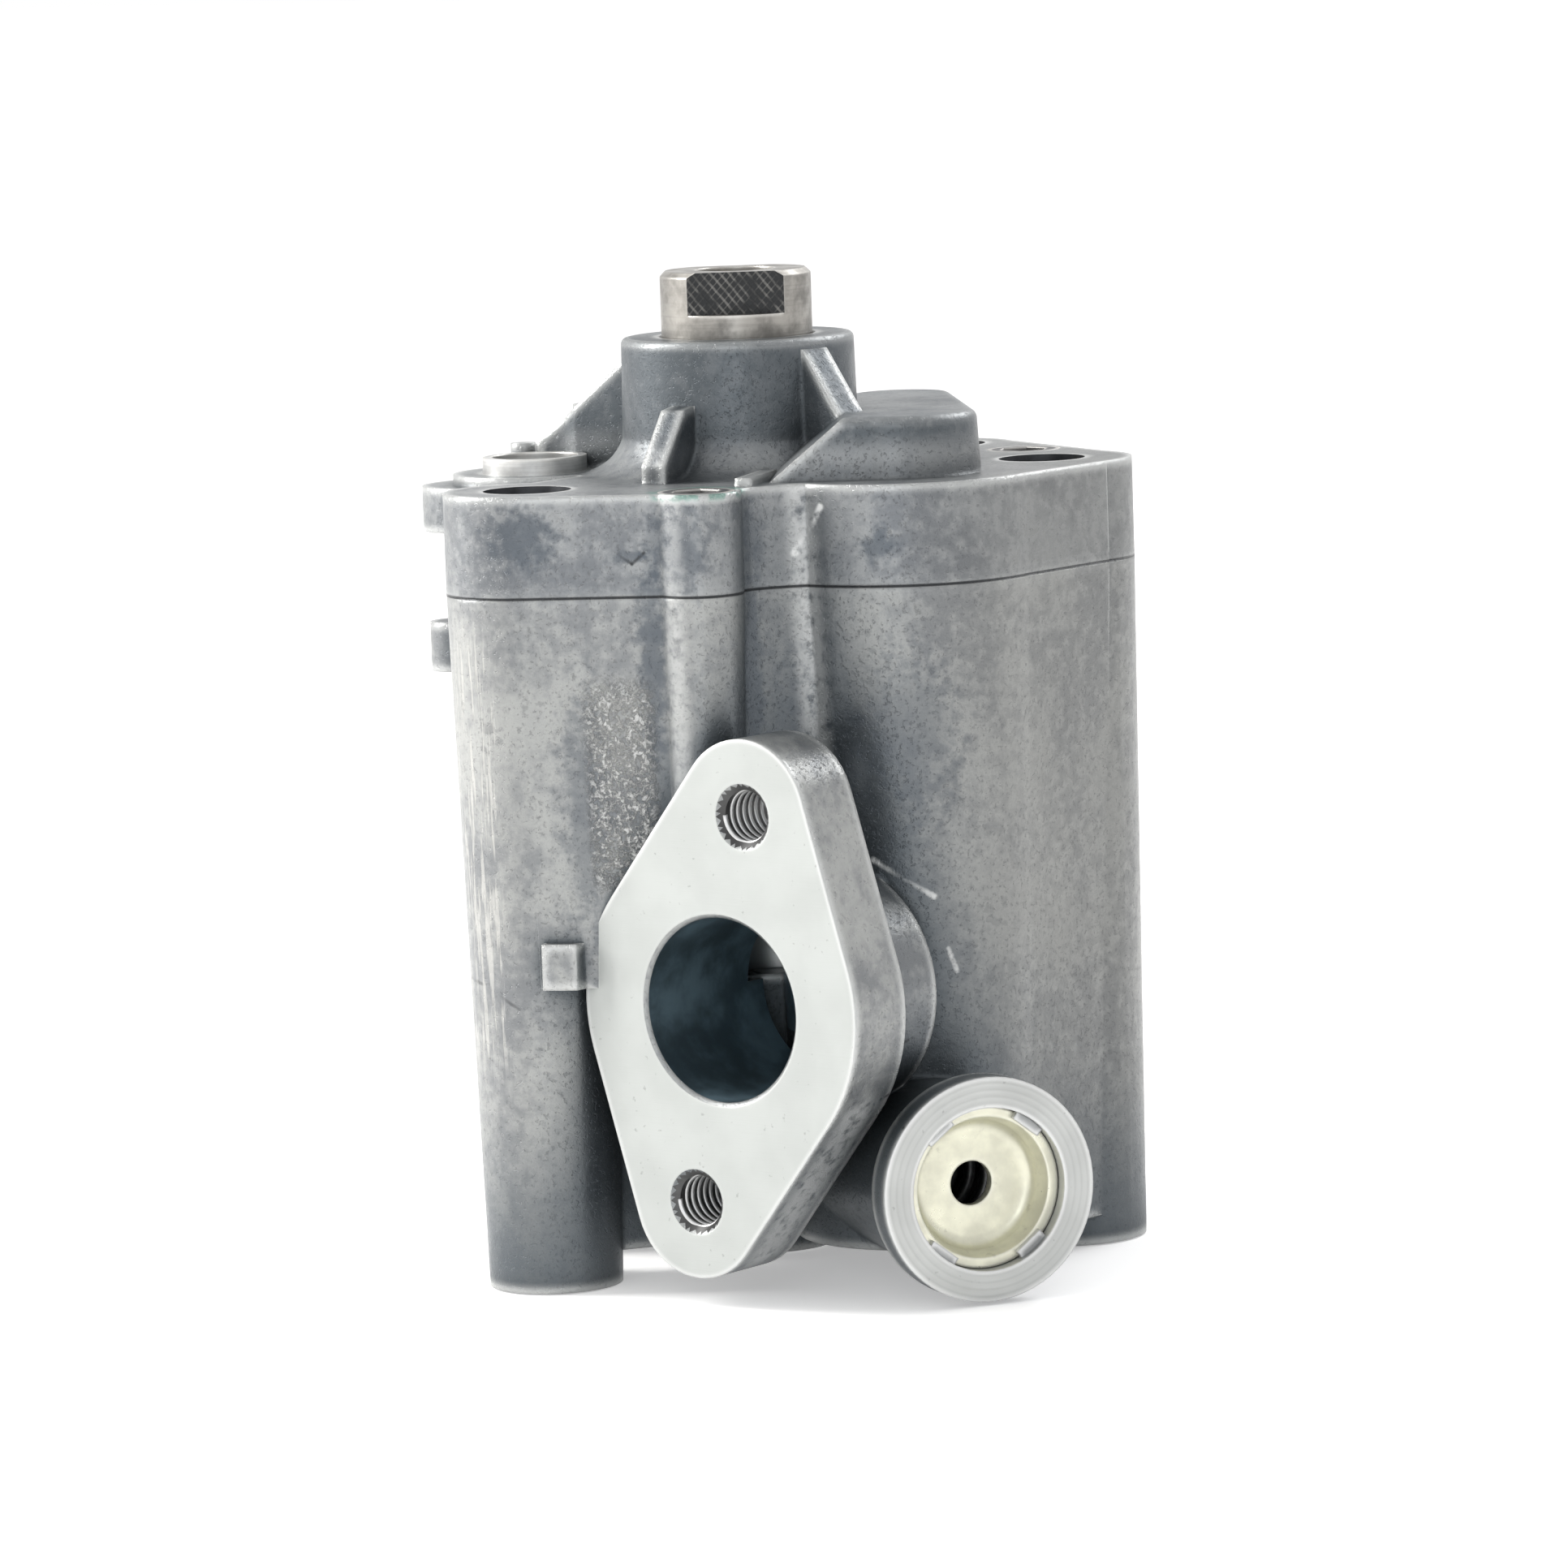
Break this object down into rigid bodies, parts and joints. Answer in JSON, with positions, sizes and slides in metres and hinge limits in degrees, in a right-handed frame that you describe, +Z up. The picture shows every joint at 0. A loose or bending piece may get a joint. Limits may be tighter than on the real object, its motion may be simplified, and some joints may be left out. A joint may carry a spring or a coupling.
{
  "type": "engine oil pump",
  "caption": "Engine oil pump with two meshed spur gears in a die-cast body, a drive shaft, a suction flange and a spring-loaded relief valve.",
  "frame": {"origin": "where the drive shaft's axis meets the plane of the feet", "axes": "+Z up the drive shaft, out of its free end; +X from the drive gear to the idler gear; -Y out of the suction flange"},
  "size_m": [0.0995, 0.096, 0.1312],
  "materials": {
    "cast_aluminium": "rough",
    "machined_steel": "satin",
    "bush_metal": "satin",
    "zinc_plated_steel": "satin",
    "spring_steel": "satin"
  },
  "bodies": {
    "housing": {"pump_body": "cast_aluminium", "pump_cover": "cast_aluminium", "drive_bush_upper": "bush_metal", "drive_bush_lower": "bush_metal", "idler_bush_upper": "bush_metal", "idler_bush_lower": "bush_metal", "locating_sleeve": "machined_steel", "cover_pins": "machined_steel", "cover_screws": "machined_steel", "gallery_plug": "cast_aluminium", "relief_shim": "zinc_plated_steel", "relief_spring": "spring_steel", "relief_spring_cup": "zinc_plated_steel"},
    "drive_rotor": {"drive_shaft": "machined_steel", "drive_gear": "machined_steel", "drive_key": "machined_steel", "drive_gear_ring": "spring_steel"},
    "idler_rotor": {"idler_shaft": "machined_steel", "idler_gear": "machined_steel"},
    "relief_valve": {"relief_piston": "machined_steel"}
  },
  "joints": [
    {"name": "drive_spin", "type": "hinge", "parent": "housing", "child": "drive_rotor", "pos_m": [0, 0, 0.07], "axis": [0, 0, 1], "continuous": true},
    {"name": "idler_spin", "type": "hinge", "parent": "housing", "child": "idler_rotor", "pos_m": [0.026, 0, 0.07], "axis": [0, 0, 1], "continuous": true},
    {"name": "relief_slide", "type": "slide", "parent": "housing", "child": "relief_valve", "axis": [0.866, -0.5, 0], "range_m": [0, 0.007], "stiffness_N_per_m": 9000, "springref_m": -0.012, "deforming": ["relief_spring"]}
  ],
  "couplings": [
    {"joint": "idler_spin", "follows": "drive_spin", "ratio": -1}
  ]
}
